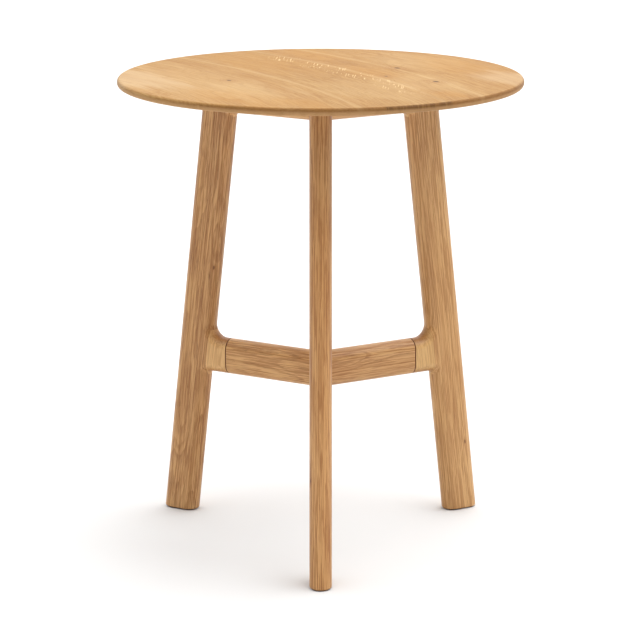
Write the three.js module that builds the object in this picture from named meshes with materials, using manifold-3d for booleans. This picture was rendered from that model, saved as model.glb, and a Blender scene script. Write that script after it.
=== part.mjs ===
// Round three-legged table in solid oak, in millimetres, +Z up.
// The origin is on the floor under the middle of the top, and the front leg stands on the -Y side.
import * as THREE from 'three';
import { mergeVertices } from 'three/addons/utils/BufferGeometryUtils.js';
import Module from 'manifold-3d';

const wasm = await Module();
wasm.setup();

// Driving sizes
const height = 763;
const topRadius = 325;
const topThickness = 12;
const rimRounding = 5;
const staveWidth = 114;
const staveTurn = THREE.MathUtils.degToRad(29); // the boards' length, away from the front-to-back line
const middleStaveOffset = -7; // how far the middle board's centre line passes from the table's centre

const legWidth = 35;
const legDepth = 62; // across the leg along the table's radius, measured level
const legCentreAtFloor = 273.5;
const legLean = 0.12; // how far the leg moves in for each unit that it rises
const footEase = 2.4;

const armHeight = 60;
const lowerArmBottom = 249.5;
const stubLength = 36;
const housingDepth = 1.5; // how far a stub is let into its leg
const stubAboveArm = 12;
const filletAboveStub = 20;
const filletBelowStub = 6.5;
const jointChamfer = 0.9;

const gap = 0.3; // between two pieces that touch
const beyond = 40; // how far a cutting solid or an uncut end runs past what it has to reach
const flatBetweenNoses = 0.5; // what a full rounding leaves flat, so that an outline has no edge too short
const arcSteps = 3;
const noseSteps = 5;
const smallTurnSteps = 24;
const rimSteps = 96;

const jointTenon = { thickness: 8, height: 34, length: 48 };
const centreTenon = { thickness: 5, height: 34, length: 18, fromCentre: 11 };
const screw = {
  headRadius: 4,
  headRim: 0.5,
  shankRadius: 2,
  length: 38,
  bite: 8,
  keyRadius: 1.5,
  keyDepth: 1.8,
};
const screwRadii = { inner: 40, outer: 84 };
const glide = { radius: 11, flatRadius: 9, edge: 0.4, standOff: 1.5, pinRadius: 3, pinLength: 13 };

const mitreAngle = Math.PI / 3; // between an arm's length and each of its two mitres at the centre

const stations = [
  { name: 'front', turn: -Math.PI / 2 },
  { name: 'rear_right', turn: Math.PI / 6 },
  { name: 'rear_left', turn: (Math.PI * 5) / 6 },
];

// Sizes that follow from the driving ones
const topUnderside = height - topThickness;
const frameTop = topUnderside - gap;
const upperArmBottom = frameTop - armHeight;
const lowerArmMiddle = lowerArmBottom + armHeight / 2;
const upperArmMiddle = upperArmBottom + armHeight / 2;
const noseRadius = (legWidth - flatBetweenNoses) / 2;
const legCentreAt = (z) => legCentreAtFloor - legLean * z;
const legFaceAt = (z) => legCentreAt(z) - legDepth / 2;
const lowerJoint = legFaceAt(lowerArmMiddle) - stubLength;
const upperJoint = legFaceAt(upperArmMiddle) - stubLength;

const oak = {
  top: new THREE.Color(0.86, 0.69, 0.46),
  frame: new THREE.Color(0.74, 0.56, 0.37),
  tenon: new THREE.Color(0.8, 0.66, 0.46),
};
const steel = new THREE.Color(0.72, 0.72, 0.74);
const nylon = new THREE.Color(0.3, 0.27, 0.24);

const table = new THREE.Group();
table.name = 'three_legged_table';

// Turns a three.js geometry into a solid that booleans can work on.
function solidOf(geometry) {
  const bare = geometry.index ? geometry.toNonIndexed() : geometry.clone();
  bare.deleteAttribute('normal');
  bare.deleteAttribute('uv');
  const merged = mergeVertices(bare, 1e-4);
  const mesh = new wasm.Mesh({
    numProp: 3,
    vertProperties: new Float32Array(merged.attributes.position.array),
    triVerts: new Uint32Array(merged.index.array),
  });
  return new wasm.Manifold(mesh);
}

// Adds a solid to the table as one named piece.
function addPiece(name, solid, colour, roughness = 0.6, metalness = 0) {
  const mesh = solid.getMesh();
  const geometry = new THREE.BufferGeometry();
  geometry.setAttribute('position', new THREE.BufferAttribute(mesh.vertProperties, 3));
  geometry.setIndex(new THREE.BufferAttribute(mesh.triVerts, 1));
  geometry.computeVertexNormals();
  const piece = new THREE.Mesh(geometry, new THREE.MeshStandardMaterial({ color: colour, roughness, metalness }));
  piece.name = name;
  table.add(piece);
}

// A box between two corners.
function box(low, high) {
  const size = high.map((value, i) => value - low[i]);
  const geometry = new THREE.BoxGeometry(...size);
  geometry.translate(...low.map((value, i) => value + size[i] / 2));
  return solidOf(geometry);
}

// Turns a solid made along +X about the table's axis.
const turned = (solid, turn) => solid.rotate([0, 0, THREE.MathUtils.radToDeg(turn)]);

// A closed outline through corners [x, y, radius], with an arc at each corner that has a radius.
function roundedOutline(corners) {
  const shape = new THREE.Shape();
  const points = corners.map(([x, y]) => new THREE.Vector2(x, y));
  corners.forEach(([, , radius = 0], i) => {
    const corner = points[i];
    const back = points.at(i - 1).clone().sub(corner).normalize();
    const on = points[(i + 1) % points.length].clone().sub(corner).normalize();
    const half = Math.acos(THREE.MathUtils.clamp(back.dot(on), -1, 1)) / 2;
    const start = corner.clone().addScaledVector(back, radius / Math.tan(half));
    const end = corner.clone().addScaledVector(on, radius / Math.tan(half));
    if (i === 0) shape.moveTo(start.x, start.y);
    else if (radius === 0) shape.lineTo(corner.x, corner.y);
    if (radius === 0) return;
    const centre = corner.clone().addScaledVector(back.clone().add(on).normalize(), radius / Math.sin(half));
    const from = start.sub(centre).angle();
    const to = end.sub(centre).angle();
    shape.absarc(centre.x, centre.y, radius, from, to, back.cross(on) > 0);
  });
  shape.closePath();
  return shape;
}

// A rectangle about the origin with its corners rounded, lower ones and upper ones apart.
function roundedSection(width, tall, lowerRadius, upperRadius) {
  const x = width / 2;
  const y = tall / 2;
  return roundedOutline([
    [-x, -y, lowerRadius],
    [x, -y, lowerRadius],
    [x, y, upperRadius],
    [-x, y, upperRadius],
  ]);
}

// A section swept along +X from one radius to another, with its own x across and its own y up.
function sweptAlongRadius(section, from, to, middle, chamfer = 0) {
  const geometry = new THREE.ExtrudeGeometry(section, {
    depth: to - from - 2 * chamfer,
    bevelEnabled: chamfer > 0,
    bevelThickness: chamfer,
    bevelSize: chamfer,
    bevelOffset: -chamfer,
    bevelSegments: 1,
    curveSegments: arcSteps,
  });
  geometry.translate(0, 0, chamfer);
  geometry.rotateX(Math.PI / 2);
  geometry.rotateZ(Math.PI / 2);
  geometry.translate(from, 0, middle);
  return solidOf(geometry);
}

// A solid that widens at 45 degrees from a section and leaves a small chamfer round an end cut flat there.
function flare(section, chamfer, length) {
  const geometry = new THREE.ExtrudeGeometry(section, {
    depth: length - beyond,
    bevelThickness: beyond,
    bevelSize: beyond,
    bevelOffset: -chamfer,
    bevelSegments: 1,
    curveSegments: arcSteps,
  });
  geometry.translate(0, 0, beyond);
  return geometry;
}

// The side view of a leg with both stubs, as x along the radius and y up, with its ends left long.
function legOutline() {
  const bottom = -beyond;
  const top = height + beyond;
  const face = (z) => [legFaceAt(z), z];
  const lowerArmTop = lowerArmBottom + armHeight;
  return roundedOutline([
    [legCentreAt(bottom) + legDepth / 2, bottom],
    [legCentreAt(top) + legDepth / 2, top],
    [upperJoint - beyond, top],
    [upperJoint - beyond, upperArmBottom],
    [...face(upperArmBottom), filletBelowStub],
    [...face(lowerArmTop), filletAboveStub],
    [lowerJoint - beyond, lowerArmTop],
    [lowerJoint - beyond, lowerArmBottom],
    [...face(lowerArmBottom), filletBelowStub],
    [legFaceAt(bottom), bottom],
  ]);
}

// The outline made into a solid whose edges are rounded over the whole thickness of the wood.
function roundedBlank() {
  const geometry = new THREE.ExtrudeGeometry(legOutline(), {
    depth: flatBetweenNoses,
    bevelThickness: noseRadius,
    bevelSize: noseRadius,
    bevelOffset: -noseRadius,
    bevelSegments: noseSteps,
    curveSegments: arcSteps,
  });
  geometry.translate(0, 0, -flatBetweenNoses / 2);
  geometry.rotateX(Math.PI / 2);
  return solidOf(geometry);
}

// The space inward of a leg's inner face, moved inward by an offset, between two heights.
function inwardOfFace(offset, low, high) {
  const side = new THREE.Shape();
  side.moveTo(legFaceAt(low) - offset, low);
  side.lineTo(legFaceAt(high) - offset, high);
  side.lineTo(0, high);
  side.lineTo(0, low);
  side.closePath();
  const geometry = new THREE.ExtrudeGeometry(side, { depth: 2 * legWidth, bevelEnabled: false });
  geometry.translate(0, 0, -legWidth);
  geometry.rotateX(Math.PI / 2);
  return solidOf(geometry);
}

// A foot's flat end with its edge eased, leaning with the leg.
function footCutter() {
  const section = roundedSection(legDepth, legWidth, noseRadius, noseRadius);
  const geometry = flare(section, footEase, height);
  geometry.applyMatrix4(new THREE.Matrix4().makeShear(0, 0, 0, 0, -legLean, 0));
  geometry.translate(legCentreAt(glide.standOff), 0, glide.standOff);
  return solidOf(geometry);
}

const levels = {
  lower: {
    joint: lowerJoint,
    middle: lowerArmMiddle,
    section: roundedSection(legWidth, armHeight, noseRadius, noseRadius),
    stubFrom: lowerArmBottom - filletBelowStub,
    stubTo: lowerArmBottom + armHeight + stubAboveArm,
  },
  upper: {
    joint: upperJoint,
    middle: upperArmMiddle,
    section: roundedSection(legWidth, armHeight, noseRadius, 0),
    stubFrom: upperArmBottom - filletBelowStub,
    stubTo: height,
  },
};

// A tenon's section, fully rounded above and below. Play is added to its width and height.
function tenonSection(sizes, play) {
  const thickness = sizes.thickness + play;
  const rounding = (thickness - flatBetweenNoses) / 2;
  return roundedSection(thickness, sizes.height + play, rounding, rounding);
}

// A loose tenon that lies across an arm's joint with its stub. Play is added all round for its mortise.
function jointTenonSolid(level, play = 0) {
  const reach = (jointTenon.length + 2 * play) / 2;
  return sweptAlongRadius(tenonSection(jointTenon, 2 * play), level.joint - reach, level.joint + reach, level.middle);
}

// A loose tenon that lies across one mitre at the centre, on the side given.
function centreTenonSolid(level, side, play = 0) {
  const reach = (centreTenon.length + 2 * play) / 2;
  const tenon = sweptAlongRadius(tenonSection(centreTenon, 2 * play), -reach, reach, level.middle);
  const mitre = side * mitreAngle;
  const across = mitre - (side * Math.PI) / 2;
  return turned(tenon, across).translate([
    centreTenon.fromCentre * Math.cos(mitre),
    centreTenon.fromCentre * Math.sin(mitre),
    0,
  ]);
}

// A solid turned about Z from a profile of [radius, height] points.
function turnedProfile(points, steps = smallTurnSteps) {
  const geometry = new THREE.LatheGeometry(points.map(([radius, z]) => new THREE.Vector2(radius, z)), steps);
  geometry.rotateX(Math.PI / 2);
  return solidOf(geometry);
}

// A countersunk screw standing on +Z, with its head's face at z = 0 and a six-sided key hole.
function screwSolid() {
  const { headRadius, headRim, shankRadius, length, keyRadius, keyDepth } = screw;
  const body = turnedProfile([
    [0, 0],
    [headRadius, 0],
    [headRadius, headRim],
    [shankRadius, headRadius - shankRadius + headRim],
    [shankRadius, length - 2 * shankRadius],
    [0, length],
  ]);
  const key = new THREE.CylinderGeometry(keyRadius, keyRadius, 2 * keyDepth, 6);
  key.rotateX(Math.PI / 2);
  return body.subtract(solidOf(key));
}

const screwHeadHeight = topUnderside + screw.bite - screw.length;
const screwSpots = Object.entries(screwRadii);

// The hole of one screw: a wide bore for its head from below and a narrow one for its shank.
function screwHole(radius) {
  const { headRadius, headRim, shankRadius, bite } = screw;
  const bore = headRadius + 2 * gap;
  const play = gap / 2;
  return turnedProfile([
    [0, upperArmBottom - beyond],
    [bore, upperArmBottom - beyond],
    [bore, screwHeadHeight + headRim],
    [shankRadius + play, screwHeadHeight + headRim + headRadius - shankRadius + gap],
    [shankRadius + play, topUnderside + bite + gap],
    [0, topUnderside + bite + gap],
  ]).translate([radius, 0, 0]);
}

// The whole top with its rounded rim, before it is cut into boards.
function topDisc() {
  const edge = topRadius - rimRounding;
  const quarter = Array.from({ length: noseSteps + 1 }, (_, i) => (i / noseSteps) * (Math.PI / 2));
  const lowerArc = quarter.map((angle) => [
    edge + rimRounding * Math.sin(angle),
    topUnderside + rimRounding * (1 - Math.cos(angle)),
  ]);
  const upperArc = quarter.map((angle) => [
    edge + rimRounding * Math.cos(angle),
    height - rimRounding * (1 - Math.sin(angle)),
  ]);
  return turnedProfile([[0, topUnderside], ...lowerArc, ...upperArc, [0, height]], rimSteps);
}

function addTop() {
  let disc = topDisc();
  for (const station of stations) {
    for (const [, radius] of screwSpots) disc = disc.subtract(turned(screwHole(radius), station.turn));
  }
  const count = Math.ceil((2 * topRadius) / staveWidth) + 1;
  const first = middleStaveOffset - (Math.floor(count / 2) + 0.5) * staveWidth;
  for (let i = 0; i < count; i += 1) {
    const low = first + i * staveWidth + gap / 2;
    const high = low + staveWidth - gap;
    const strip = box([low, -2 * topRadius, 0], [high, 2 * topRadius, 2 * height]);
    const stave = disc.intersect(turned(strip, staveTurn));
    if (stave.isEmpty()) continue;
    addPiece(`top_stave_${i + 1}`, stave, oak.top, 0.55);
  }
}

// The hollow in a foot for its glide's pin.
function glideHole() {
  const radius = glide.pinRadius + gap;
  const depth = glide.pinLength + 2 * gap;
  return turnedProfile([[0, -depth], [radius, -depth], [radius, depth], [0, depth]])
    .translate([legCentreAt(0), 0, 0]);
}

// A leg, with a housing on its inner side for each of its stubs.
function addLeg(station, blank) {
  const leg = Object.values(levels)
    .reduce((wood, level) => wood.subtract(inwardOfFace(-housingDepth, level.stubFrom, level.stubTo)), blank)
    .intersect(footCutter())
    .intersect(box([0, -legWidth, 0], [2 * topRadius, legWidth, frameTop]))
    .subtract(glideHole());
  addPiece(`leg_${station.name}`, turned(leg, station.turn), oak.frame);
}

// The block between a leg and one of its arms.
function addStub(station, levelName, blank) {
  const level = levels[levelName];
  const flared = flare(level.section, jointChamfer, 4 * beyond);
  flared.rotateX(Math.PI / 2);
  flared.rotateZ(Math.PI / 2);
  flared.translate(level.joint + gap / 2, 0, level.middle);
  const stub = blank
    .intersect(inwardOfFace(gap - housingDepth, level.stubFrom + gap, level.stubTo - gap))
    .intersect(box([level.joint + gap / 2, -legWidth, 0], [2 * topRadius, legWidth, frameTop]))
    .intersect(solidOf(flared))
    .subtract(jointTenonSolid(level, gap));
  addPiece(`${levelName}_stub_${station.name}`, turned(stub, station.turn), oak.frame);
}

// An arm from the mitred joint at the table's centre out to its stub.
function addArm(station, levelName) {
  const level = levels[levelName];
  const wedge = new THREE.Shape();
  const reach = level.joint + beyond;
  const point = gap / 2 / Math.sin(mitreAngle);
  wedge.moveTo(point, 0);
  wedge.lineTo(point + reach, -reach * Math.tan(mitreAngle));
  wedge.lineTo(point + reach, reach * Math.tan(mitreAngle));
  wedge.closePath();
  const mitre = solidOf(new THREE.ExtrudeGeometry(wedge, { depth: height, bevelEnabled: false }));
  let arm = sweptAlongRadius(level.section, -beyond, level.joint - gap / 2, level.middle, jointChamfer)
    .intersect(mitre)
    .subtract(jointTenonSolid(level, gap))
    .subtract(centreTenonSolid(level, 1, gap))
    .subtract(centreTenonSolid(level, -1, gap));
  if (levelName === 'upper') {
    for (const [, radius] of screwSpots) arm = arm.subtract(screwHole(radius));
  }
  addPiece(`${levelName}_arm_${station.name}`, turned(arm, station.turn), oak.frame);
}

function addTenons(station, levelName) {
  const level = levels[levelName];
  addPiece(`${levelName}_joint_tenon_${station.name}`, turned(jointTenonSolid(level), station.turn), oak.tenon);
  addPiece(`${levelName}_centre_tenon_${station.name}`, turned(centreTenonSolid(level, 1), station.turn), oak.tenon);
}

function addScrews(station) {
  for (const [place, radius] of screwSpots) {
    const placed = screwSolid().translate([radius, 0, screwHeadHeight]);
    addPiece(`top_screw_${station.name}_${place}`, turned(placed, station.turn), steel, 0.35, 1);
  }
}

// A round glide under a foot, held by its own pin.
function addGlide(station) {
  const { radius, flatRadius, edge, pinRadius, pinLength } = glide;
  const seat = glide.standOff - gap;
  const solid = turnedProfile([
    [0, 0],
    [flatRadius, 0],
    [radius, edge],
    [radius, seat],
    [pinRadius, seat],
    [pinRadius, pinLength - pinRadius / 2],
    [pinRadius / 2, pinLength],
    [0, pinLength],
  ]).translate([legCentreAt(0), 0, 0]);
  addPiece(`foot_glide_${station.name}`, turned(solid, station.turn), nylon, 0.7);
}

addTop();
const legBlank = roundedBlank();
for (const station of stations) {
  addLeg(station, legBlank);
  for (const levelName of Object.keys(levels)) {
    addStub(station, levelName, legBlank);
    addArm(station, levelName);
    addTenons(station, levelName);
  }
  addScrews(station);
  addGlide(station);
}

export default table;
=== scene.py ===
# Round three-legged table in solid oak, in metres, +Z up, with the front leg on the -Y side.
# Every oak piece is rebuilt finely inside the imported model's sizes. Screws and glides stay as packed.
import math

import bmesh
import bpy
from mathutils import Matrix, Vector


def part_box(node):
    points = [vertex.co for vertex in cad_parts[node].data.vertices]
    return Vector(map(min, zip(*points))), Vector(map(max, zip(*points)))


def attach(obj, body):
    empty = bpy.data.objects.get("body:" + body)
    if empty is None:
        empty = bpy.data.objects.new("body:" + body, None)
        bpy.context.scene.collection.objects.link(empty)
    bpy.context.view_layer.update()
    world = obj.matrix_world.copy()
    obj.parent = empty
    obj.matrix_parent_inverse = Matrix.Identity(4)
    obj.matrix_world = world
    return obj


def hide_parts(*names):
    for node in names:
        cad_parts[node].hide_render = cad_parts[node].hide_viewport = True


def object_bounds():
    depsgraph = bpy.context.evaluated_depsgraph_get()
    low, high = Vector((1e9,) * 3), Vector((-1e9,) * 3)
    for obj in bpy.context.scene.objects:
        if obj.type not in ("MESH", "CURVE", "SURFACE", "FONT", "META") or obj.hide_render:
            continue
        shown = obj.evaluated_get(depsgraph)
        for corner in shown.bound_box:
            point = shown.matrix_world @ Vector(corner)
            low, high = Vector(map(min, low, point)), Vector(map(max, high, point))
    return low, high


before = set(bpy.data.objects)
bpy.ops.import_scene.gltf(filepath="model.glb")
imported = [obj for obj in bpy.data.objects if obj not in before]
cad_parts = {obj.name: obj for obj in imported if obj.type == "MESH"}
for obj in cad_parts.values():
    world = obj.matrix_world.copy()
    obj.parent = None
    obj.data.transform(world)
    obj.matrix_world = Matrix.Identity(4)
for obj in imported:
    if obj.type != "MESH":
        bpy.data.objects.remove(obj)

cad_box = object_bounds()

MM = 0.001

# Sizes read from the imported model
top_radius = cad_box[1].x
top_height = cad_box[1].z
top_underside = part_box("top_stave_4")[0].z
leg_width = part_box("leg_front")[1].x * 2
foot_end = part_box("leg_front")[0].z
frame_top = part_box("leg_front")[1].z
leg_centre_at_floor = -sum(corner.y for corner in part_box("foot_glide_front")) / 2

# Sizes that a box doesn't give
rim_rounding = 5 * MM
stave_width = 114 * MM
stave_count = 7
stave_turn = math.radians(29)  # the boards' length, away from the front-to-back line
middle_stave_offset = -7 * MM
leg_depth = 62 * MM
leg_lean = 0.12  # how far the leg moves in for each unit that it rises
foot_ease = 2.4 * MM
housing_depth = 1.5 * MM
stub_above_arm = 12 * MM
fillet_above_stub = 20 * MM
fillet_below_stub = 6.5 * MM
joint_chamfer = 0.9 * MM
glue_line = 0.06 * MM  # what stays open between two pieces
joint_line = 0.3 * MM  # the same at the joint of an arm with its stub
joint_tenon = {"thickness": 8 * MM, "height": 34 * MM, "length": 48 * MM}
centre_tenon = {"thickness": 5 * MM, "height": 34 * MM, "length": 18 * MM, "from_centre": 11 * MM}
tenon_play = 0.3 * MM
tenon_round_share = 0.49  # of its thickness, where a half would leave no flat on its edge
arm_round_share = 0.495  # the same, of an arm's width
bore_radius = 4.6 * MM
bore_past_head = 0.5 * MM
bore_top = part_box("top_screw_front_inner")[0].z + bore_past_head
screw_boxes = [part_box(f"top_screw_front_{place}") for place in ("inner", "outer")]
screw_radii = [-(low.y + high.y) / 2 for low, high in screw_boxes]
beyond = 40 * MM  # how far a cutting solid or an uncut end runs past what it has to reach

mitre_angle = math.pi / 3
stations = {"front": -math.pi / 2, "rear_right": math.pi / 6, "rear_left": math.pi * 5 / 6}

fillet_steps = 14
nose_steps = 9
tenon_steps = 4
foot_ease_steps = 3
rim_steps = 288
rim_arc_steps = 7
bore_steps = 32
sharp_angle = math.radians(30)
same_place = 0.01 * MM  # how near two places are that count as the same


def leg_face(z):
    """How far a leg's inner face is from the table's axis at a height."""
    return leg_centre_at_floor - leg_lean * z - leg_depth / 2


def level_of(name, rounded_top):
    """One ring of arms: its joint's radius, its heights and the heights that its stubs fill."""
    arm_low, arm_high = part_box(f"{name}_arm_front")
    joint = -(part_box(f"{name}_stub_front")[1].y + arm_low.y) / 2
    return {
        "joint": joint,
        "low": arm_low.z,
        "high": arm_high.z,
        "middle": (arm_low.z + arm_high.z) / 2,
        "rounded_top": rounded_top,
        "stub_from": arm_low.z - fillet_below_stub,
        "stub_to": arm_high.z + stub_above_arm if rounded_top else frame_top,
    }


levels = {"lower": level_of("lower", True), "upper": level_of("upper", False)}


# ---------------------------------------------------------------- meshes

def object_from(bm, name):
    """A new object that holds the mesh, with its faces turned outward."""
    bmesh.ops.recalc_face_normals(bm, faces=bm.faces)
    mesh = bpy.data.meshes.new(name)
    bm.to_mesh(mesh)
    bm.free()
    made = bpy.data.objects.new(name, mesh)
    bpy.context.scene.collection.objects.link(made)
    return made


def remove(obj):
    mesh = obj.data
    bpy.data.objects.remove(obj)
    bpy.data.meshes.remove(mesh)


def combine(obj, cutter, operation):
    """Cuts an object with another one, which is then removed."""
    modifier = obj.modifiers.new("combine", "BOOLEAN")
    modifier.operation = operation
    modifier.solver = "EXACT"
    modifier.object = cutter
    depsgraph = bpy.context.evaluated_depsgraph_get()
    result = bpy.data.meshes.new_from_object(obj.evaluated_get(depsgraph))
    obj.modifiers.clear()
    old = obj.data
    obj.data = result
    bpy.data.meshes.remove(old)
    remove(cutter)
    return obj


def loft(rings, name="loft"):
    """A closed solid through rings that have the same number of points each."""
    bm = bmesh.new()
    rows = [[bm.verts.new(point) for point in ring] for ring in rings]
    for row, following in zip(rows, rows[1:]):
        for i in range(len(row)):
            bm.faces.new((row[i - 1], row[i], following[i], following[i - 1]))
    bm.faces.new(rows[0])
    bm.faces.new(rows[-1])
    return object_from(bm, name)


def box(low, high):
    """A box between two corners."""
    ring = [(low[0], low[1]), (high[0], low[1]), (high[0], high[1]), (low[0], high[1])]
    return loft([[(x, y, z) for x, y in ring] for z in (low[2], high[2])], "box")


def rounded_outline(corners, steps):
    """Points of a closed outline through corners (x, y, radius), with an arc at each that has a radius."""
    points = []
    for i, (x, y, radius) in enumerate(corners):
        corner = Vector((x, y))
        if radius == 0:
            points.append(corner)
            continue
        back = (Vector(corners[i - 1][:2]) - corner).normalized()
        on = (Vector(corners[(i + 1) % len(corners)][:2]) - corner).normalized()
        half = back.angle(on) / 2
        centre = corner + (back + on).normalized() * radius / math.sin(half)
        start = (corner + back * radius / math.tan(half) - centre).normalized()
        end = (corner + on * radius / math.tan(half) - centre).normalized()
        for step in range(steps + 1):
            points.append(centre + start.slerp(end, step / steps) * radius)
    return points


def moved_in(outline, distance):
    """An outline moved towards its inside, square to each of its sides."""
    moved = []
    for i, point in enumerate(outline):
        before = (point - outline[i - 1]).normalized()
        after = (outline[(i + 1) % len(outline)] - point).normalized()
        normals = [Vector((-side.y, side.x)) for side in (before, after)]
        mitre = (normals[0] + normals[1]) / (1 + normals[0].dot(normals[1]))
        moved.append(point + mitre * distance)
    return moved


def section_across(width, low, high, lower_radius, upper_radius, steps=nose_steps):
    """An upright section about x = 0, with its corners rounded, lower ones and upper ones apart."""
    x = width / 2
    bottom = [(-x, low, lower_radius), (x, low, lower_radius)]
    top = [(x, high, upper_radius), (-x, high, upper_radius)]
    return rounded_outline(bottom + top, steps)


def shaped_wood():
    """A leg with both its stubs, its edges rounded over the whole thickness, and its ends left long.

    It is made along +X, as all pieces of the frame are before they are turned into place.
    """
    bottom = -beyond
    top = top_height + beyond
    lower, upper = levels["lower"], levels["upper"]
    corners = [
        (leg_face(bottom) + leg_depth, bottom, 0),
        (leg_face(top) + leg_depth, top, 0),
        (upper["joint"] - beyond, top, 0),
        (upper["joint"] - beyond, upper["low"], 0),
        (leg_face(upper["low"]), upper["low"], fillet_below_stub),
        (leg_face(lower["high"]), lower["high"], fillet_above_stub),
        (lower["joint"] - beyond, lower["high"], 0),
        (lower["joint"] - beyond, lower["low"], 0),
        (leg_face(lower["low"]), lower["low"], fillet_below_stub),
        (leg_face(bottom), bottom, 0),
    ]
    outline = rounded_outline(corners, fillet_steps)
    nose = leg_width / 2
    rings = []
    for step in range(-nose_steps, nose_steps + 1):
        turn = step / nose_steps * math.pi / 2
        ring = moved_in(outline, nose * (1 - math.cos(turn)))
        rings.append([(point.x, nose * math.sin(turn), point.y) for point in ring])
    return loft(rings, "shaped_wood")


def inside_of_face(offset, low, high):
    """The space inward of a leg's inner face, moved inward by an offset, between two heights."""
    outline = [(leg_face(low) - offset, low), (leg_face(high) - offset, high), (0, high), (0, low)]
    return loft([[(x, y, z) for x, z in outline] for y in (-leg_width, leg_width)], "space")


def swept_along_x(section, start, end):
    """A section swept along the radius, where start and end give its place for each |y| across."""
    rings = [[(place(abs(point.x)), point.x, point.y) for point in section] for place in (start, end)]
    return loft(rings, "sweep")


def tenon(sizes, level, play):
    """A loose tenon along +X about the origin, with rounded edges."""
    thickness = sizes["thickness"] + 2 * play
    half_height = sizes["height"] / 2 + play
    reach = sizes["length"] / 2 + play
    rounding = thickness * tenon_round_share
    low = level["middle"] - half_height
    high = level["middle"] + half_height
    section = section_across(thickness, low, high, rounding, rounding, tenon_steps)
    return swept_along_x(section, lambda across: -reach, lambda across: reach)


def placed(obj, matrix):
    obj.data.transform(matrix)
    return obj


def joint_tenon_at(level, play=0):
    return placed(tenon(joint_tenon, level, play), Matrix.Translation((level["joint"], 0, 0)))


def centre_tenon_at(level, side, play=0):
    """A loose tenon across one mitre at the centre."""
    mitre = side * mitre_angle
    place = Vector((math.cos(mitre), math.sin(mitre), 0)) * centre_tenon["from_centre"]
    across = Matrix.Rotation(mitre - side * math.pi / 2, 4, "Z")
    return placed(tenon(centre_tenon, level, play), Matrix.Translation(place) @ across)


def bore(radius):
    """The hole under one screw's head."""
    rings = []
    for z in (levels["upper"]["low"] - beyond, bore_top):
        turns = [2 * math.pi * step / bore_steps for step in range(bore_steps)]
        rings.append([(radius + bore_radius * math.cos(t), bore_radius * math.sin(t), z) for t in turns])
    return loft(rings, "bore")


def bevelled(obj, size, chosen, segments=1):
    """Eases the edges whose two ends are both chosen."""
    bm = bmesh.new()
    bm.from_mesh(obj.data)
    edges = [edge for edge in bm.edges if all(chosen(vertex.co) for vertex in edge.verts)]
    edges = [edge for edge in edges if edge.calc_face_angle(0) > sharp_angle]
    bmesh.ops.bevel(bm, geom=edges, offset=size, segments=segments, profile=0.5, affect="EDGES")
    bm.to_mesh(obj.data)
    bm.free()
    return obj


def make_leg(wood):
    """A leg cut from the shaped wood, with housings for its stubs and an eased foot."""
    leg = combine(wood, box((0, -leg_width, foot_end), (2 * top_radius, leg_width, frame_top)), "INTERSECT")
    for level in levels.values():
        top = level["stub_to"] if level["rounded_top"] else frame_top + beyond
        leg = combine(leg, inside_of_face(-housing_depth, level["stub_from"], top), "DIFFERENCE")
    return bevelled(leg, foot_ease, lambda co: abs(co.z - foot_end) < same_place, foot_ease_steps)


def make_stub(wood, level):
    """A stub cut from the same wood, with a chamfered end and a mortise for the tenon."""
    top = level["stub_to"] - glue_line if level["rounded_top"] else frame_top
    space = inside_of_face(glue_line - housing_depth, level["stub_from"] + glue_line, top)
    stub = combine(wood, space, "INTERSECT")
    end = level["joint"] + joint_line / 2
    stub = combine(stub, box((end, -leg_width, 0), (2 * top_radius, leg_width, frame_top)), "INTERSECT")
    stub = bevelled(stub, joint_chamfer, lambda co: abs(co.x - end) < same_place)
    return combine(stub, joint_tenon_at(level, tenon_play), "DIFFERENCE")


def make_arm(level):
    """An arm from the joint with its stub to the mitres at the centre, with its mortises and bores."""
    rounding = leg_width * arm_round_share
    upper_rounding = rounding if level["rounded_top"] else 0
    section = section_across(leg_width, level["low"], level["high"], rounding, upper_rounding)
    end = level["joint"] - joint_line / 2
    arm = swept_along_x(section, lambda across: -beyond, lambda across: end)
    reach = level["joint"] + beyond
    spread = reach * math.tan(mitre_angle)
    point = glue_line / 2 / math.sin(mitre_angle)
    wedge = [(point, 0), (point + reach, -spread), (point + reach, spread)]
    arm = combine(arm, loft([[(x, y, z) for x, y in wedge] for z in (0, top_height)], "wedge"), "INTERSECT")
    arm = bevelled(arm, joint_chamfer, lambda co: abs(co.x - end) < same_place)
    arm = combine(arm, joint_tenon_at(level, tenon_play), "DIFFERENCE")
    for side in (1, -1):
        arm = combine(arm, centre_tenon_at(level, side, tenon_play), "DIFFERENCE")
    if not level["rounded_top"]:
        for radius in screw_radii:
            arm = combine(arm, bore(radius), "DIFFERENCE")
    return arm


def make_disc():
    """The whole top with its rounded rim."""
    edge = top_radius - rim_rounding
    profile = []
    for step in range(rim_arc_steps + 1):
        turn = step / rim_arc_steps * math.pi / 2
        radius = edge + rim_rounding * math.sin(turn)
        profile.append((radius, top_underside + rim_rounding * (1 - math.cos(turn))))
    profile += [(radius, top_underside + top_height - z) for radius, z in reversed(profile)]
    turns = [2 * math.pi * step / rim_steps for step in range(rim_steps)]
    rings = [[(radius * math.cos(t), radius * math.sin(t), z) for t in turns] for radius, z in profile]
    return loft(rings, "disc")


def finish_mesh(obj):
    """Smooth shading, with hard edges only where two faces really meet at an angle."""
    mesh = obj.data
    mesh.polygons.foreach_set("use_smooth", [True] * len(mesh.polygons))
    mesh.set_sharp_from_angle(angle=sharp_angle)
    weighted = obj.modifiers.new("weighted_normals", "WEIGHTED_NORMAL")
    weighted.keep_sharp = True


# ---------------------------------------------------------------- what each piece tells its material

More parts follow.
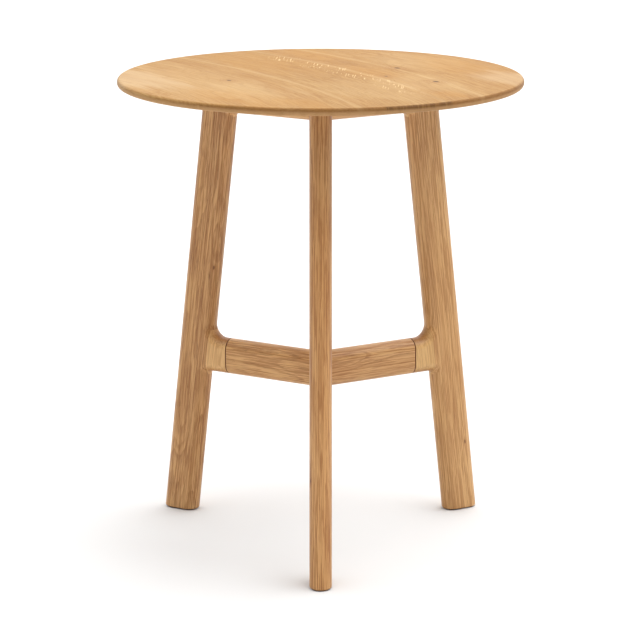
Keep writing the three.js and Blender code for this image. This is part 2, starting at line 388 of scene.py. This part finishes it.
def mark_grain(obj, along, across, log):
    """Stores where each point lies in the log that the piece was sawn from, and how it was finished.

    The vector "grain" runs along the log, and its other two parts are measured from the pith.
    The vector "fibre" is the direction of the wood's fibres. The vector "figure" says where along the
    log the rings bulge, by how much, and how dark its ends have gone. The vector "tint" is the
    board's own shade of oak, "calm" says how faint its grain is, and "knot" is where a small knot is.
    """
    along = Vector(along).normalized()
    across = Vector(across)
    across = (across - along * across.dot(along)).normalized()
    depth = along.cross(across)
    sawn = Matrix.Rotation(log["twist"], 2)
    corners = [vertex.co for vertex in obj.data.vertices]
    middles = [sum(span(corners, axis)) / 2 for axis in (across, depth)]
    stored = obj.data.attributes
    for name in ("grain", "fibre", "figure", "tint", "knot"):
        stored.new(name, "FLOAT_VECTOR", "POINT")
    stored.new("calm", "FLOAT", "POINT")

    def in_log(point):
        section = sawn @ Vector((point.dot(across) - middles[0], point.dot(depth) - middles[1]))
        return (point.dot(along) + log["start"], *(section - Vector(log["pith"])))

    knot = in_log(Vector(log["knot"]))
    figure = (log["bulge_at"] + log["start"], log["bulge"], log["end_soaked"])
    for i, corner in enumerate(corners):
        stored["grain"].data[i].vector = in_log(corner)
        stored["knot"].data[i].vector = knot
        stored["fibre"].data[i].vector = along
        stored["figure"].data[i].vector = figure
        stored["tint"].data[i].vector = log["tint"]
        stored["calm"].data[i].value = log["calm"]


def span(points, axis):
    """The lowest and highest place of some points along an axis."""
    places = [point.dot(axis) for point in points]
    return min(places), max(places)


def mark_joint_shade(obj, place):
    """Stores 1 on the points at a distance from the table's axis, in the joint's groove, where the material
    paints shade.
    """
    joint_shade = obj.data.attributes.new("joint_shade", "FLOAT", "POINT")
    for vertex, item in zip(obj.data.vertices, joint_shade.data):
        item.value = 1.0 if place is not None and abs(vertex.co.x - place) < same_place else 0.0


def mark_place(obj, along, across):
    """Stores each point's place on the top, along its boards and across them, and above its underside."""
    place = obj.data.attributes.new("place", "FLOAT_VECTOR", "POINT")
    for vertex, item in zip(obj.data.vertices, place.data):
        item.vector = (vertex.co.dot(along), vertex.co.dot(across), vertex.co.z - top_underside)


# ---------------------------------------------------------------- shading

class Graph:
    """The nodes of a material or of the world, with short ways to add to them."""

    def __init__(self, owner, shader="Principled BSDF"):
        owner.use_nodes = True
        self.owner = owner
        self.tree = owner.node_tree
        self.shader = self.tree.nodes[shader]

    def node(self, kind, inputs=None, **settings):
        made = self.tree.nodes.new(kind)
        for name, value in settings.items():
            setattr(made, name, value)
        for key, value in (inputs or {}).items():
            self.join(value, made.inputs[key])
        return made

    def join(self, value, socket):
        if isinstance(value, bpy.types.NodeSocket):
            self.tree.links.new(value, socket)
        else:
            socket.default_value = value

    def maths(self, operation, *values):
        return self.node("ShaderNodeMath", dict(enumerate(values)), operation=operation).outputs[0]

    def add(self, a, b):
        return self.maths("ADD", a, b)

    def times(self, a, b):
        return self.maths("MULTIPLY", a, b)

    def size_of(self, value):
        return self.maths("ABSOLUTE", value)

    def vector_maths(self, operation, *vectors):
        return self.node("ShaderNodeVectorMath", dict(enumerate(vectors)), operation=operation).outputs

    def scaled(self, vector, scale):
        return self.vector_maths("MULTIPLY", vector, scale)[0]

    def minus(self, a, b):
        return self.vector_maths("SUBTRACT", a, b)[0]

    def dot(self, a, b):
        return self.vector_maths("DOT_PRODUCT", a, b)["Value"]

    def length(self, vector):
        return self.vector_maths("LENGTH", vector)["Value"]

    def split(self, vector):
        return self.node("ShaderNodeSeparateXYZ", {"Vector": vector}).outputs[:]

    def joined(self, x, y, z=0.0):
        return self.node("ShaderNodeCombineXYZ", {"X": x, "Y": y, "Z": z}).outputs[0]

    def attribute(self, name):
        return self.node("ShaderNodeAttribute", attribute_name=name).outputs["Vector"]

    def number(self, name):
        return self.node("ShaderNodeAttribute", attribute_name=name).outputs["Fac"]

    def normal(self):
        return self.node("ShaderNodeNewGeometry").outputs["Normal"]

    def object_place(self):
        return self.node("ShaderNodeTexCoord").outputs["Object"]

    def noise(self, vector, detail=2.0, roughness=0.5):
        """Noise from 0 to 1 with features one unit apart."""
        inputs = {"Vector": vector, "Scale": 1.0, "Detail": detail, "Roughness": roughness}
        return self.node("ShaderNodeTexNoise", inputs).outputs["Fac"]

    def drawn_out(self, place, by_length, by_width, detail=2.0, roughness=0.5):
        """Noise with so many features to the metre along the fibres, and across them."""
        along, across, depth = place
        scaled = (self.times(along, by_length), self.times(across, by_width), self.times(depth, by_width))
        return self.noise(self.joined(*scaled), detail, roughness)

    def ramp(self, value, low, high, to_low=0.0, to_high=1.0):
        """A smooth step between two values."""
        inputs = {"Value": value, "From Min": low, "From Max": high, "To Min": to_low, "To Max": to_high}
        return self.node("ShaderNodeMapRange", inputs, interpolation_type="SMOOTHSTEP").outputs[0]

    def mix(self, factor, a, b, blend="MIX"):
        inputs = {0: factor, 6: a, 7: b}  # the sockets of a mix of colours
        return self.node("ShaderNodeMix", inputs, data_type="RGBA", blend_type=blend).outputs[2]

    def finish(self, tone, rough, relief, strength, distance):
        """Gives the shader its colour, its roughness and its fine relief, and returns the material."""
        bump = self.node("ShaderNodeBump", {"Height": relief, "Strength": strength, "Distance": distance})
        self.join(tone, self.shader.inputs["Base Color"])
        self.join(rough, self.shader.inputs["Roughness"])
        self.join(bump.outputs["Normal"], self.shader.inputs["Normal"])
        return self.owner


def colour(red, green, blue):
    """A colour for a socket from screen values of 0 to 255."""
    def linear(value):
        value /= 255
        return value / 12.92 if value <= 0.04045 else ((value + 0.055) / 1.055) ** 2.4
    return (linear(red), linear(green), linear(blue), 1.0)


def grey(value):
    return (value, value, value, 1.0)


# Noise drawn out along the fibres: features to the metre along and across them, then detail and roughness
slow_noise = (3.2, 11, 1.5)
quick_noise = (18, 70)
cloud_noise = (2.5, 18)
band_noise = (4, 100, 2.0, 0.6)
streak_noise = (8, 400, 2.0, 0.6)
fibre_noise = (14, 500, 3.0, 0.6)
dash_noise = (55, 1500, 1.0)
cut_fibre_noise = {"across": 420, "depth": 60, "along": 8}

# Rings, and how they stray from true circles about the pith
noise_middle = 0.5  # noise less this strays both ways
ring_spacing = 2.7 * MM
ring_unevenness = 2.2  # in rings
uneven_to_the_metre = 150
faintest_ring = 0.25
early_wood_starts = (0.0, 0.15)  # in shares of a ring
early_wood_fades = (0.8, 0.2)
slow_wander = 30 * MM
quick_wander = 3.5 * MM
figure_length = 75 * MM

# How much each mark covers: where it sets in and is full, and its least and most
pores_in_noise = (0.54, 0.66)
pores_in_ring = (0.1, 0.7, 0.15, 1.0)
clouds_cover = (0.32, 0.68)
bands_cover = (0.46, 0.68, 0.0, 0.25)
streaks_cover = (0.53, 0.6, 0.0, 0.6)
fibres_cover = (0.5, 0.57, 0.0, 0.75)
early_wood_cover = 0.5
pores_cover = 0.6
small_knot = (2.1 * MM, 1 * MM, 0.0, 0.8)
round_small_knot = (6 * MM, 1 * MM, 0.0, 0.45)
cut_fibres_cover = (0.38, 0.55, 0.45, 1.1)
joint_shade_cover = (0.0, 0.35, 0.0, 0.95)
knot_stretch = (0.45, 1, 1)  # a knot is longer along the fibres
# painted shade in the groove of each joint of an arm with its stub
joint_shade_brown = colour(98, 50, 18)
soaked_brown = colour(98, 64, 26)

# The surface: what fibres and pores do to its roughness and its relief
fibre_range = (0.3, 0.7)
fibre_roughness = 0.1
pore_roughness = 0.15
fibre_height = 0.3
pore_height = -0.7
wood_relief = (0.35, 0.2 * MM)

# The three ways that oak looks here. "end_reach" says how far a face turns to the ends until it is end grain.
top_oak = {
    "pale": colour(165, 130, 79),
    "honey": colour(158, 118, 64),
    "brown": colour(131, 90, 44),
    "pore": colour(105, 67, 33),
    "end": colour(218, 204, 192),
    "end_reach": (0.1, 0.6),
    "gloss": 0.2,
    "roughness": 0.6,
}
frame_oak = {
    "pale": colour(221, 177, 121),
    "honey": colour(209, 161, 103),
    "brown": colour(158, 103, 50),
    "pore": colour(108, 64, 30),
    "end": colour(200, 176, 150),
    "end_reach": (0.25, 0.95),
    "gloss": 0.5,
    "roughness": 0.38,
}
tenon_oak = {
    "pale": colour(220, 178, 128),
    "honey": colour(205, 160, 110),
    "brown": colour(180, 130, 86),
    "pore": colour(130, 88, 50),
    "end": colour(200, 165, 130),
    "end_reach": (0.25, 0.95),
    "gloss": 0.5,
    "roughness": 0.38,
}


def rings_of(graph, place):
    """The share of dark early wood, from rings that wander, bulge and differ in width."""
    along, across, depth = place
    slow = graph.add(graph.drawn_out(place, *slow_noise), -noise_middle)
    quick = graph.add(graph.drawn_out(place, *quick_noise), -noise_middle)
    wander = graph.add(graph.times(slow, slow_wander), graph.times(quick, quick_wander))
    from_pith = graph.maths("SQRT", graph.add(graph.times(across, across), graph.times(depth, depth)))
    bulge_at, bulge = graph.split(graph.attribute("figure"))[:2]
    offset = graph.times(graph.maths("SUBTRACT", along, bulge_at), 1 / figure_length)
    hump = graph.maths("EXPONENT", graph.times(graph.times(offset, offset), -1.0))
    reach = graph.add(graph.add(from_pith, wander), graph.times(hump, bulge))
    uneven = graph.noise(graph.joined(graph.times(reach, uneven_to_the_metre), 0.0), 1.0)
    ring = graph.add(graph.times(reach, 1 / ring_spacing), graph.times(uneven, ring_unevenness))
    phase = graph.maths("FRACT", ring)
    number = graph.maths("FLOOR", ring)
    strength = graph.node("ShaderNodeTexWhiteNoise", {"W": number}, noise_dimensions="1D").outputs["Value"]
    early = graph.times(graph.ramp(phase, *early_wood_starts), graph.ramp(phase, *early_wood_fades))
    return graph.times(early, graph.ramp(strength, 0.0, 1.0, faintest_ring, 1.0))


def sawn_tone(graph, place, early, fibres, pores, finish):
    """Rings, clouds, streaks and pores, fainter where the piece is calm."""
    bands = graph.drawn_out(place, *band_noise)
    streaks = graph.drawn_out(place, *streak_noise)
    clouds = graph.drawn_out(place, *cloud_noise)
    tone = graph.mix(graph.ramp(clouds, *clouds_cover), finish["pale"], finish["honey"])
    tone = graph.mix(graph.times(early, early_wood_cover), tone, finish["brown"])
    for lines, cover in ((bands, bands_cover), (streaks, streaks_cover), (fibres, fibres_cover)):
        tone = graph.mix(graph.ramp(lines, *cover), tone, finish["brown"])
    tone = graph.mix(graph.times(pores, pores_cover), tone, finish["pore"])
    return graph.mix(graph.number("calm"), tone, finish["honey"])


def with_small_knot(graph, tone, finish):
    """A dark knot where the piece has one, with browner wood round it."""
    offset = graph.minus(graph.attribute("grain"), graph.attribute("knot"))
    away = graph.length(graph.scaled(offset, knot_stretch))
    tone = graph.mix(graph.ramp(away, *round_small_knot), tone, finish["brown"])
    return graph.mix(graph.ramp(away, *small_knot), tone, finish["pore"])


def with_end_grain(graph, place, tone, finish):
    """End grain drinks more oil and turns darker, in lines where its pores are cut."""
    along, across, depth = place
    facing = graph.size_of(graph.dot(graph.normal(), graph.attribute("fibre")))
    share = graph.ramp(facing, *finish["end_reach"])
    tone = graph.mix(share, tone, finish["end"], "MULTIPLY")
    by_axis = {"across": across, "depth": depth, "along": along}
    cut = graph.joined(*(graph.times(by_axis[axis], count) for axis, count in cut_fibre_noise.items()))
    soaked = graph.split(graph.attribute("figure"))[2]
    soaked = graph.times(soaked, graph.ramp(graph.noise(cut), *cut_fibres_cover))
    return graph.mix(graph.times(share, soaked), tone, soaked_brown)


def oak(name, finish, marks=None):
    """Oiled oak, with rings, pores, fibres and darker end grain, placed by each piece's own grain."""
    graph = Graph(bpy.data.materials.new(name))
    along, across, depth = graph.split(graph.attribute("grain"))
    if marks:
        across = marks.bent(graph, across)
    place = (along, across, depth)
    early = rings_of(graph, place)
    fibres = graph.drawn_out(place, *fibre_noise)
    dashes = graph.drawn_out(place, *dash_noise)
    pores = graph.times(graph.ramp(dashes, *pores_in_noise), graph.ramp(early, *pores_in_ring))

    tone = sawn_tone(graph, place, early, fibres, pores, finish)
    tone = with_small_knot(graph, tone, finish)
    if marks:
        tone = marks.drawn(graph, tone)
    tone = graph.mix(1.0, tone, graph.attribute("tint"), "MULTIPLY")
    tone = with_end_grain(graph, place, tone, finish)
    # painted light on the rim's lower half, where light from the floor falls
    if marks:
        tone = marks.painted_bounce_light(graph, tone)
    # Painted shade: the joint's groove is darkened beyond its own shadow.
    tone = graph.mix(graph.ramp(graph.number("joint_shade"), *joint_shade_cover), tone, joint_shade_brown)

    smooth = finish["roughness"]
    rough = graph.ramp(fibres, *fibre_range, smooth, smooth + fibre_roughness)
    rough = graph.add(rough, graph.times(pores, pore_roughness))
    relief = graph.add(graph.times(fibres, fibre_height), graph.times(pores, pore_height))
    graph.shader.inputs["Specular IOR Level"].default_value = finish["gloss"]
    return graph.finish(tone, rough, relief, *wood_relief)


# The top's own marks. Places are in metres from its middle, to the right and away from the front leg,
# and a patch or a knot has its radius after them.
fibre_bend = 0.36  # the fibres' lines are parabolas, with this much bend
pale_streaks = (-0.07, 0.073, 0.146)
streak_edges = (7 * MM, 1 * MM, 0.0, 0.28)
streak_waver = 10 * MM
waver_noise = (5, 32, 3.0, 0.55)
patch_stretch = 2.0
patch_edges = (1.5, 0.5)  # in radii
patch_waver = 2.5  # in radii
patch_pale = colour(182, 153, 108)
patches = (
    {
        "colour": patch_pale,
        "most": 0.25,
        "at": (
            (-0.21, -0.05, 0.09), (-0.1, -0.15, 0.05), (0.17, -0.08, 0.05), (0.15, 0.17, 0.05),
            (0.08, -0.15, 0.06),
        ),
    },
    {
        "colour": colour(164, 118, 54),
        "most": 0.3,
        "at": (
            (-0.1, 0.16, 0.06), (-0.02, 0.25, 0.04), (0.23, 0.1, 0.05), (0.08, 0.04, 0.03),
            (-0.13, -0.23, 0.045), (0.2, -0.19, 0.02), (-0.03, -0.28, 0.03),
        ),
    },
    {
        "colour": colour(190, 168, 136),
        "most": 0.3,
        "at": ((-0.29, -0.03, 0.05), (0.3, -0.02, 0.04)),
    },
)
fleck_pale = colour(222, 192, 144)
fleck_cover = 0.7
fleck_slant = 0.65
fleck_noise = (28, 330, 1.0)
fleck_edges = (0.58, 0.66)
clump_noise = (22, 40, 1.0)
clump_edges = (0.42, 0.56)
clump_layer = 4.0  # it keeps the clumps apart from other noise
fleck_band = 57 * MM  # where the band of flecks lies across the boards
fleck_band_edges = (32 * MM, 8 * MM)
fleck_band_ends = (250 * MM, 200 * MM)
top_knots = ((-0.145, -0.045, 0.004), (0.125, 0.09, 0.005), (0.105, 0.0, 0.003), (0.182, -0.058, 0.005))
knot_top_stretch = 1.5
knot_core = (1, 0.6, 0.0, 0.95)  # its edges in radii, and its least and most
knot_halo = 6  # in radii
knot_ripples = 1600  # in radians to the metre
ripple_cover = (0.1, 0.6)
knot_brown = colour(140, 96, 48)
knot_dark = colour(82, 54, 28)
# Painted light: the rim's lower half is made paler, as if lit by the floor below
bounce_light_pale = colour(188, 146, 100)
bounce_light_heights = (9 * MM, 3.5 * MM, 0.0, 0.75)
bounce_light_slopes = (1.0, 0.96)  # by how upright a face's normal is, so that flat faces get no painted light
bounce_light_noise = (60, 60)
bounce_light_cover = (0.3, 0.6, 0.8, 1.0)


class TopMarks:
    """What can be seen on this top alone: bent fibres, pale streaks, flecks, knots and patches."""

    def bent(self, graph, across):
        self.along, self.across, self.height = graph.split(graph.attribute("place"))
        bend = graph.times(graph.times(self.along, self.along), fibre_bend)
        self.line = graph.add(self.across, bend)
        return graph.add(across, bend)

    def noise(self, graph, across, by_length, by_width, detail=2.0, roughness=0.5, layer=0.0):
        """Noise with so many features to the metre along the boards, and across them."""
        place = graph.joined(graph.times(self.along, by_length), graph.times(across, by_width), layer)
        return graph.noise(place, detail, roughness)

    def drawn(self, graph, tone):
        waver = graph.add(self.noise(graph, self.line, *waver_noise), -noise_middle)
        tone = self.patched(graph, tone, waver)
        tone = self.streaked(graph, tone, waver)
        tone = self.flecked(graph, tone)
        return self.knotted(graph, tone)

    def from_point(self, graph, x, y, stretch):
        """Distance from a point of the top. A stretch above 1 makes marks longer along the boards."""
        along = x * math.sin(stave_turn) - y * math.cos(stave_turn)
        across = x * math.cos(stave_turn) + y * math.sin(stave_turn)
        by_length = graph.times(graph.add(self.along, -along), 1 / stretch)
        return graph.length(graph.joined(by_length, graph.add(self.across, -across)))

    def patched(self, graph, tone, waver):
        for patch in patches:
            for x, y, radius in patch["at"]:
                away = self.from_point(graph, x, y, patch_stretch)
                away = graph.add(away, graph.times(waver, radius * patch_waver))
                edges = (radius * edge for edge in patch_edges)
                share = graph.ramp(away, *edges, 0.0, patch["most"])
                tone = graph.mix(share, tone, patch["colour"])
        return tone

    def streaked(self, graph, tone, waver):
        for place in pale_streaks:
            offset = graph.size_of(graph.add(self.line, -place))
            share = graph.ramp(graph.add(offset, graph.times(waver, streak_waver)), *streak_edges)
            tone = graph.mix(share, tone, patch_pale)
        return tone

    def flecked(self, graph, tone):
        """Pale ray flecks in one band, aslant to the boards and in clumps."""
        slanted = graph.add(self.across, graph.times(self.along, fleck_slant))
        flecks = self.noise(graph, slanted, *fleck_noise)
        clumps = self.noise(graph, self.across, *clump_noise, layer=clump_layer)
        band = graph.ramp(graph.size_of(graph.add(self.line, -fleck_band)), *fleck_band_edges)
        band = graph.times(band, graph.ramp(graph.size_of(self.along), *fleck_band_ends))
        band = graph.times(band, graph.ramp(clumps, *clump_edges))
        share = graph.times(graph.ramp(flecks, *fleck_edges), graph.times(band, fleck_cover))
        return graph.mix(share, tone, fleck_pale)

    def knotted(self, graph, tone):
        for x, y, radius in top_knots:
            away = self.from_point(graph, x, y, knot_top_stretch)
            ripple = graph.maths("SINE", graph.times(away, knot_ripples))
            halo = graph.ramp(away, radius * knot_halo, radius)
            halo = graph.times(halo, graph.ramp(ripple, -1.0, 1.0, *ripple_cover))
            tone = graph.mix(halo, tone, knot_brown)
            core = graph.ramp(graph.times(away, 1 / radius), *knot_core)
            tone = graph.mix(core, tone, knot_dark)
        return tone

    def painted_bounce_light(self, graph, tone):
        """Painted light: the lower half of the rim made paler in patches, standing in for light thrown up
        from the floor.
        """
        patchy = self.noise(graph, self.across, *bounce_light_noise)
        upright = graph.split(graph.normal())[2]
        on_rim = graph.ramp(graph.size_of(upright), *bounce_light_slopes)
        share = graph.times(graph.ramp(self.height, *bounce_light_heights), graph.ramp(patchy, *bounce_light_cover))
        return graph.mix(graph.times(share, on_rim), tone, bounce_light_pale)


# Metal and nylon. The noise is in features to the metre along x, y and z.
turning_noise = (900, 900, 6000)
stain_noise = (260, 260, 260)
stain_cover = (0.35, 0.7)
bright_zinc = (0.66, 0.66, 0.68, 1)
dull_zinc = (0.46, 0.45, 0.44, 1)
zinc_roughness = (0.3, 0.7, 0.25, 0.42)
zinc_relief = (0.2, 0.05 * MM)
mould_noise = (2600, 2600, 2600)
scuff_noise = (500, 90, 500)
scuff_cover = (0.45, 0.75)
dark_nylon = (0.075, 0.055, 0.042, 1)
scuffed_nylon = (0.16, 0.13, 0.105, 1)
nylon_roughness = (0.3, 0.8, 0.5, 0.75)
nylon_relief = (0.25, 0.1 * MM)


def steel(name):
    """Zinc-plated steel with fine marks from turning."""
    graph = Graph(bpy.data.materials.new(name))
    place = graph.object_place()
    marks = graph.noise(graph.scaled(place, turning_noise), 3.0)
    stain = graph.noise(graph.scaled(place, stain_noise))
    shade = graph.mix(graph.ramp(stain, *stain_cover), bright_zinc, dull_zinc)
    graph.shader.inputs["Metallic"].default_value = 1.0
    return graph.finish(shade, graph.ramp(marks, *zinc_roughness), marks, *zinc_relief)


def nylon(name):
    """Dull brown moulded nylon, scuffed underneath."""
    graph = Graph(bpy.data.materials.new(name))
    place = graph.object_place()
    grains = graph.noise(graph.scaled(place, mould_noise))
    scuffs = graph.noise(graph.scaled(place, scuff_noise), 3.0, 0.6)
    shade = graph.mix(graph.ramp(scuffs, *scuff_cover), dark_nylon, scuffed_nylon)
    return graph.finish(shade, graph.ramp(scuffs, *nylon_roughness), grains, *nylon_relief)


# By the names of their slots in the record
oaks = {
    "oak_top": oak("oak_top", top_oak, TopMarks()),
    "oak_frame": oak("oak_frame", frame_oak),
    "oak_tenon": oak("oak_tenon", tenon_oak),
}


# ---------------------------------------------------------------- pieces

stave_lights = (1.02, 1.0, 0.985, 0.97, 1.0, 1.01, 1.03)
stave_calm = 0.35
soaked_stave = 3  # the one whose ends have gone dark
end_darkness = 0.85
stave_start_step = 0.9  # boards come from places this far apart in the log
pith_depth = 70 * MM  # below a board
pith_depth_step = 20 * MM
pith_sway = 30 * MM
stave_bulge_reach = 120 * MM
stave_bulge = 12 * MM
piece_start_step = 0.7
piece_twist = 0.2


def on_leg(height, outward, sideways):
    """A point by a leg's middle line, before the leg is turned into place."""
    return (leg_centre_at_floor - leg_lean * height + outward, sideways, height)


# How each piece was sawn, and its shade. What a piece doesn't say is as in plain_log.
plain_log = {
    "bulge_at": 0.5,
    "bulge": 0.0,
    "end_soaked": 0.0,
    "calm": 0.1,
    "knot": (0, 0, -9),  # so far off that it never shows
}
leg_logs = {
    "front": {"pith": (0.01, 0.14), "tint": (0.86, 0.78, 0.69), "knot": on_leg(0.171, 0.0212, -0.0157)},
    "rear_right": {
        "pith": (0.15, 0.01),
        "tint": (0.97, 0.96, 0.93),
        "calm": 0.2,
        "knot": on_leg(0.12, 0.014, -0.0175),
    },
    "rear_left": {
        "pith": (0.011, -0.02),
        "bulge_at": 0.55,
        "bulge": -0.008,
        "tint": (0.93, 0.89, 0.83),
        "calm": 0.0,
        "knot": on_leg(0.43, -0.025, 0.0132),
    },
}
stub_log = {"pith": (0.13, 0.02), "calm": 0.5}
stub_tints = {"front": (1.05, 1.1, 1.1), "rear_right": (1.05, 1.14, 1.17), "rear_left": (1.13, 1.18, 1.19)}
arm_log = {"pith": (0.02, 0.06), "bulge_at": 0.1, "bulge": 0.006}
arm_tints = {"front": (1.0, 0.97, 0.92), "rear_right": (0.92, 0.88, 0.85), "rear_left": (1.02, 0.99, 0.94)}
tenon_log = {"pith": (0.1, 0.05), "tint": (1, 1, 1)}


def log_of(shape_name, station):
    """How a piece of the frame was sawn, and its shade."""
    if shape_name == "leg":
        return leg_logs[station]
    if shape_name.endswith("stub"):
        return {**stub_log, "tint": stub_tints[station]}
    if shape_name.endswith("arm"):
        return {**arm_log, "tint": arm_tints[station]}
    return tenon_log


def joint_end(shape_name):
    """How far from the axis a stub's or an arm's end is at their joint."""
    if shape_name.endswith("stub"):
        return levels[shape_name.split("_")[0]]["joint"] + joint_line / 2
    if shape_name.endswith("arm"):
        return levels[shape_name.split("_")[0]]["joint"] - joint_line / 2
    return None


def add_piece(obj, name, material, slot, *nodes):
    """Gives a finished object its name, material and place in the table."""
    obj.name = name
    obj.data.name = name
    obj.data.materials.clear()
    obj.data.materials.append(material)
    finish_mesh(obj)
    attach(obj, "root")
    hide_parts(*nodes)


def copy_of(obj):
    made = obj.copy()
    made.data = obj.data.copy()
    bpy.context.scene.collection.objects.link(made)
    return made


def stave_log(i):
    """How one board of the top was sawn: each from another place in the log, with the pith below it."""
    light = stave_lights[i]
    return {
        "start": stave_start_step * i,
        "twist": 0.0,
        "pith": (pith_sway * math.sin(2.3 * i), -pith_depth - pith_depth_step * (i % 3)),
        "bulge_at": stave_bulge_reach * math.cos(1.9 * i),
        "bulge": stave_bulge,
        "tint": (light, light, light ** 1.6),
        "end_soaked": end_darkness if i == soaked_stave else 0.0,
        "calm": stave_calm,
        "knot": plain_log["knot"],
    }


def add_top():
    disc = make_disc()
    along = Vector((math.sin(stave_turn), -math.cos(stave_turn), 0))
    across = Vector((math.cos(stave_turn), math.sin(stave_turn), 0))
    first = middle_stave_offset - stave_width * stave_count / 2
    for i in range(stave_count):
        low = first + i * stave_width + glue_line / 2
        high = low + stave_width - glue_line
        strip = box((low, -2 * top_radius, 0), (high, 2 * top_radius, 2 * top_height))
        strip.data.transform(Matrix.Rotation(stave_turn, 4, "Z"))
        stave = combine(copy_of(disc), strip, "INTERSECT")
        mark_grain(stave, along, across, stave_log(i))
        mark_joint_shade(stave, None)
        mark_place(stave, along, across)
        name = f"top_stave_{i + 1}"
        add_piece(stave, f"{name}_wood", oaks["oak_top"], "oak_top", name)
    remove(disc)


def frame_shapes():
    """One of each shape of the frame, along +X, with the node's name without its station."""
    wood = shaped_wood()
    shapes = {"leg": make_leg(copy_of(wood))}
    for level_name, level in levels.items():
        shapes[f"{level_name}_stub"] = make_stub(copy_of(wood), level)
        shapes[f"{level_name}_arm"] = make_arm(level)
        shapes[f"{level_name}_joint_tenon"] = joint_tenon_at(level)
        shapes[f"{level_name}_centre_tenon"] = centre_tenon_at(level, 1)
    remove(wood)
    return shapes


def turn_into_place(piece, turn):
    """Turns a marked piece about the table's axis, and the direction of its fibres with it."""
    turned = Matrix.Rotation(turn, 4, "Z")
    piece.data.transform(turned)
    for item in piece.data.attributes["fibre"].data:
        item.vector = turned.to_3x3() @ Vector(item.vector)


def add_frame():
    shapes = frame_shapes()
    up_leg = Vector((-leg_lean, 0, 1))
    outward = Vector((1, 0, 0))
    upward = Vector((0, 0, 1))
    for number, (station, turn) in enumerate(stations.items()):
        for kind, (shape_name, shape) in enumerate(shapes.items()):
            piece = copy_of(shape)
            upright = shape_name == "leg" or shape_name.endswith("stub")
            along, across = (up_leg, outward) if upright else (outward, upward)
            seed = number * 11 + kind
            log = {**plain_log, "start": piece_start_step * seed, "twist": piece_twist * math.sin(seed)}
            mark_grain(piece, along, across, {**log, **log_of(shape_name, station)})
            mark_joint_shade(piece, joint_end(shape_name))
            turn_into_place(piece, turn)
            slot = "oak_tenon" if shape_name.endswith("tenon") else "oak_frame"
            name = f"{shape_name}_{station}"
            add_piece(piece, f"{name}_wood", oaks[slot], slot, name)
    for shape in shapes.values():
        remove(shape)


def finish_metal_and_glides():
    """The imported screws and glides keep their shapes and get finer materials."""
    finishes = {"top_screw": steel("screw_steel"), "foot_glide": nylon("glide_nylon")}
    for name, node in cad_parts.items():
        for start, finish in finishes.items():
            if name.startswith(start):
                for material_slot in node.material_slots:
                    material_slot.material = finish


# ---------------------------------------------------------------- light, floor and camera

floor_reach = 16
floor_depth = 0.02
floor_greys = (0.63, 0.65)
floor_noise = (3, 3, 3)
floor_roughness = 0.9
floor_gloss = 0.1

# The world's light: two places on the unit sphere, and how strong it is at each. It falls off towards the
# front and the horizon, and the backdrop is bright.
light_from_front = (-1.0, 0.1, 0.45, 1.0)
light_from_above = (0.1, 0.75, 0.12, 1.75)
light_from_behind = (0.2, 0.8, 0.0, 1.5)
light_seen = 1.0

key_energy = 2.6
key_softness = math.radians(70)
key_from = (0.30, 0.0, 0.95)

camera_lens = 151.585
camera_place = (-0.001, -4.2793, 1.3997)
camera_tilt = math.radians(76.367)


def add_floor():
    floor = box((-floor_reach, -floor_reach, -floor_depth), (floor_reach, floor_reach, 0))
    floor.name = "floor"
    graph = Graph(bpy.data.materials.new("floor_white"))
    mottle = graph.noise(graph.scaled(graph.object_place(), floor_noise), 3.0)
    tone = graph.mix(mottle, *(grey(value) for value in floor_greys))
    graph.join(tone, graph.shader.inputs["Base Color"])
    graph.shader.inputs["Roughness"].default_value = floor_roughness
    graph.shader.inputs["Specular IOR Level"].default_value = floor_gloss
    floor.data.materials.append(graph.owner)


def add_world():
    """A pale room: plain white to look at, and brighter above and behind the table than in front of it."""
    world = bpy.data.worlds.new("studio")
    bpy.context.scene.world = world
    graph = Graph(world, "Background")
    back, up = graph.split(graph.node("ShaderNodeTexCoord").outputs["Generated"])[1:]
    room = graph.times(graph.ramp(back, *light_from_front), graph.ramp(up, *light_from_above))
    strength = graph.maths("MAXIMUM", room, graph.ramp(back, *light_from_behind))
    seen = graph.node("ShaderNodeLightPath").outputs["Is Camera Ray"]
    chosen = graph.node("ShaderNodeMix", {0: seen, 2: strength, 3: light_seen}).outputs[0]
    graph.shader.inputs["Color"].default_value = grey(1.0)
    graph.join(chosen, graph.shader.inputs["Strength"])


def add_key():
    """One very soft light from above, a little from the right."""
    light = bpy.data.lights.new("key", "SUN")
    light.energy = key_energy
    light.angle = key_softness
    lamp = bpy.data.objects.new("key", light)
    lamp.rotation_euler = Vector(key_from).to_track_quat("Z", "Y").to_euler()
    bpy.context.scene.collection.objects.link(lamp)


def add_camera():
    data = bpy.data.cameras.new("camera")
    data.lens = camera_lens
    camera = bpy.data.objects.new("camera", data)
    camera.location = camera_place
    camera.rotation_euler = (camera_tilt, 0, 0)
    bpy.context.scene.collection.objects.link(camera)
    bpy.context.scene.camera = camera


add_top()
add_frame()
finish_metal_and_glides()
add_floor()
add_world()
add_key()
add_camera()
bpy.context.scene.view_settings.view_transform = "Standard"
